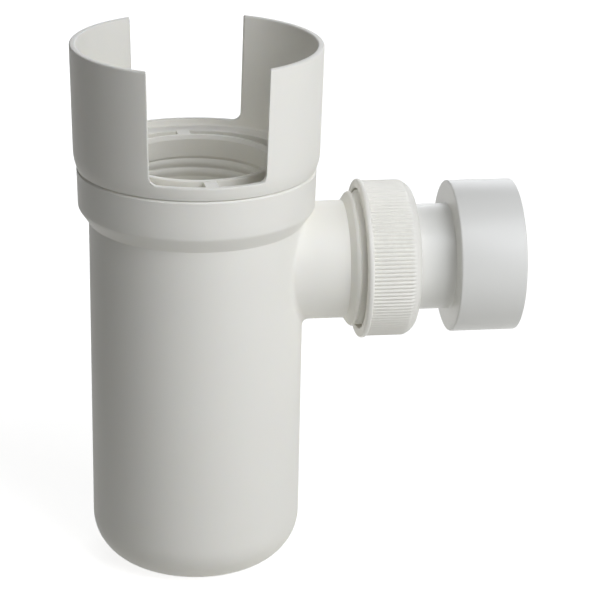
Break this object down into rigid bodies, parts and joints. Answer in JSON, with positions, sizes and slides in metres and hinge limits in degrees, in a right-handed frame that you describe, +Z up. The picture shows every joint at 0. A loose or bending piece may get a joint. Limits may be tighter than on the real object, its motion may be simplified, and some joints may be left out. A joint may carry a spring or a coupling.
{
  "type": "bottle trap tundish",
  "caption": "White plastic tundish on a bottle trap: slotted air-gap cup, threaded inlet collar, dip tube, and a knurled compression nut holding a socketed outlet adapter.",
  "frame": {"origin": "centre of the bottle's flat base", "axes": "+Z up along the bottle's axis, +X along the outlet arm towards its socket, slots facing -Y and +Y"},
  "size_m": [0.1334, 0.0726, 0.1622],
  "materials": {
    "white_moulding": "fine matte moulded polypropylene, warm white",
    "nut_moulding": "fine matte moulded polypropylene, warm white",
    "grey_pipe": "smooth semi-gloss pipe plastic, cool light grey",
    "seal_rubber": "black moulded rubber"
  },
  "bodies": {
    "bottle": {"bottle_body": "white_moulding", "cone_seal": "seal_rubber"},
    "ring": {"cup_ring": "seal_rubber"},
    "cup": {"cup": "white_moulding", "dip_tube": "white_moulding"},
    "washer": {"slip_washer": "nut_moulding"},
    "nut": {"union_nut": "nut_moulding"},
    "adapter": {"outlet_adapter": "grey_pipe"}
  },
  "joints": [
    {"name": "cup_lift", "type": "slide", "parent": "bottle", "child": "ring", "axis": [0, 0, 1], "range_m": [0, 0.1]},
    {"name": "cup_turn", "type": "hinge", "parent": "ring", "child": "cup", "pos_m": [0, 0, 0.1207], "axis": [0, 0, 1], "continuous": true},
    {"name": "nut_travel", "type": "slide", "parent": "bottle", "child": "washer", "axis": [1, 0, 0], "range_m": [0, 0.0095]},
    {"name": "nut_turn", "type": "hinge", "parent": "washer", "child": "nut", "pos_m": [0.0567, 0, 0.0943], "axis": [1, 0, 0], "range_deg": [0, 1440]},
    {"name": "adapter_pull", "type": "slide", "parent": "bottle", "child": "adapter", "axis": [1, 0, 0], "range_m": [0, 0.014]}
  ],
  "couplings": [
    {"joint": "nut_travel", "follows": "nut_turn", "m_per_rad": 0.00036749}
  ]
}
